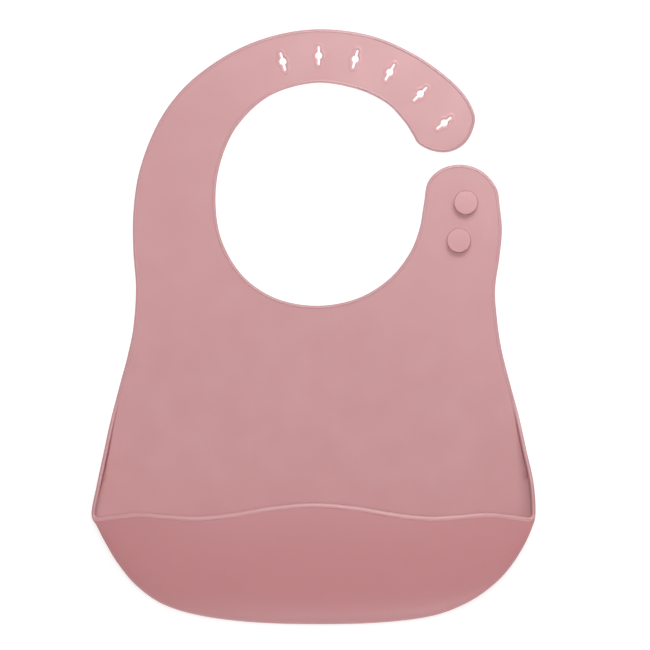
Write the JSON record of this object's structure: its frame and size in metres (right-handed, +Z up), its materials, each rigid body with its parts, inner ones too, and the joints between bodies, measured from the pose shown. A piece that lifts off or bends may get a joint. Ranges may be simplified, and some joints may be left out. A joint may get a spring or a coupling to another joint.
{
  "type": "silicone bib",
  "caption": "Silicone feeding bib lying on its back, with a trough pocket, a slotted neck strap and a tab whose studs fasten it.",
  "frame": {"origin": "on the table, under the middle of the bib's outline", "axes": "+Z up from the table and out of the bib's front, +Y from the pocket towards the neck strap, +X to the viewer's right"},
  "size_m": [0.2301, 0.3092, 0.0344],
  "materials": {
    "silicone": "matte moulded silicone, dusty pink"
  },
  "bodies": {
    "root": {"apron_lower": "silicone", "side_wall_left": "silicone", "side_wall_right": "silicone", "side_bead_left": "silicone", "side_bead_right": "silicone", "pocket_base": "silicone"},
    "pocket_front": {"pocket_wall": "silicone", "pocket_rim": "silicone"},
    "upper_apron": {"apron_upper": "silicone", "waist_bead_left": "silicone", "waist_bead_right": "silicone", "neck_bead": "silicone"},
    "strap": {"neck_strap": "silicone", "strap_bead_outer": "silicone", "strap_bead_inner": "silicone", "slot_lip_1": "silicone", "slot_lip_2": "silicone", "slot_lip_3": "silicone"},
    "strap_end": {"strap_tip": "silicone", "strap_tip_bead": "silicone", "slot_lip_4": "silicone", "slot_lip_5": "silicone", "slot_lip_6": "silicone"},
    "tab": {"stud_tab": "silicone", "stud_tab_bead": "silicone", "stud_post_upper": "silicone", "stud_post_lower": "silicone", "stud_head_upper": "silicone", "stud_head_lower": "silicone"}
  },
  "joints": [
    {"name": "apron_fold", "type": "hinge", "parent": "root", "child": "upper_apron", "pos_m": [0, -0.02985, 0.0022], "axis": [1, 0, 0], "range_deg": [0, 75], "stiffness_Nm_per_rad": 0.02},
    {"name": "strap_lift", "type": "hinge", "parent": "upper_apron", "child": "strap", "pos_m": [-0.0725, 0.06015, 0.0022], "axis": [1, 0, 0], "range_deg": [0, 90], "stiffness_Nm_per_rad": 0.008},
    {"name": "strap_end_curl", "type": "hinge", "parent": "strap", "child": "strap_end", "pos_m": [0.02999, 0.13486, 0.0022], "axis": [-0.3827, -0.9239, 0], "range_deg": [0, 60], "stiffness_Nm_per_rad": 0.004},
    {"name": "tab_lift", "type": "hinge", "parent": "upper_apron", "child": "tab", "pos_m": [0.07, 0.03015, 0.0022], "axis": [1, 0, 0], "range_deg": [0, 75], "stiffness_Nm_per_rad": 0.005},
    {"name": "pocket_press", "type": "hinge", "parent": "root", "child": "pocket_front", "pos_m": [0, -0.15, 0.004], "axis": [-1, 0, 0], "range_deg": [0, 16], "stiffness_Nm_per_rad": 0.06, "springref_deg": -17.19, "deforming": ["side_wall_left", "side_wall_right", "side_bead_left", "side_bead_right", "pocket_base"]}
  ]
}
